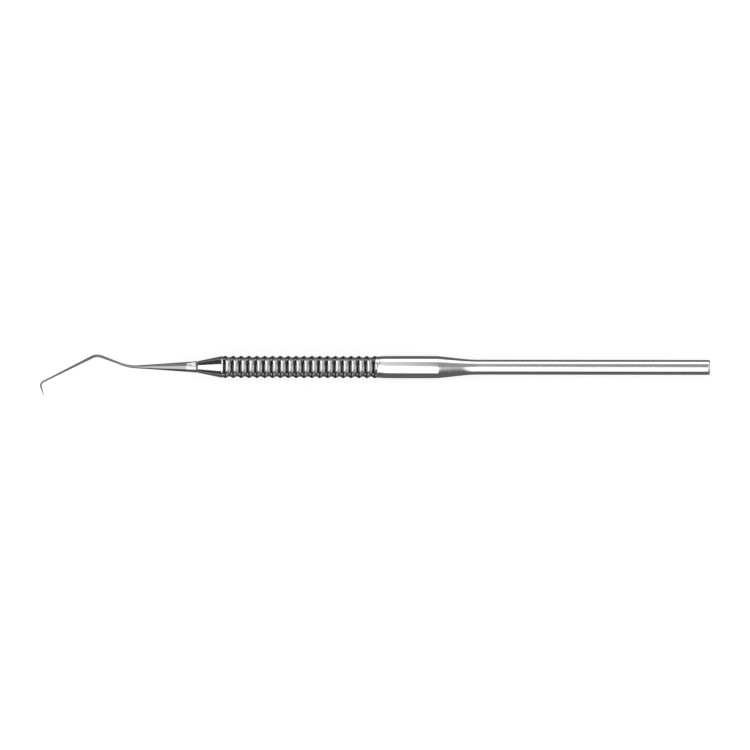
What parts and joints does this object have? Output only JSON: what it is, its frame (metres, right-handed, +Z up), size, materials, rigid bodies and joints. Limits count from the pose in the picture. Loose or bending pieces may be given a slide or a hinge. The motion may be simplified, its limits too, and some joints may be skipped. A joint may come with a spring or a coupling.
{
  "type": "dental explorer",
  "caption": "Slim steel dental explorer: a bent, hooked needle tip screwed into a turned handle with a cone nose, ringed grip, smooth barrel and thin round rod.",
  "frame": {"origin": "on the tray, under the middle of the whole instrument's box", "axes": "+X along the handle's axis towards the rod's flat end; the hook, arm, crown and shank lie level in the XY plane of that axis, crown towards +Y and needle point towards -Y; +Z up"},
  "size_m": [0.165, 0.0102, 0.0055],
  "materials": {
    "handle_steel": "polished stainless steel",
    "tip_steel": "polished hardened stainless steel"
  },
  "bodies": {
    "handle": {"handle": "handle_steel"},
    "tip": {"working_end": "tip_steel"}
  },
  "joints": [
    {"name": "tip_unscrew", "type": "slide", "parent": "handle", "child": "tip", "axis": [-1, 0, 0], "range_m": [0, 0.008]}
  ]
}
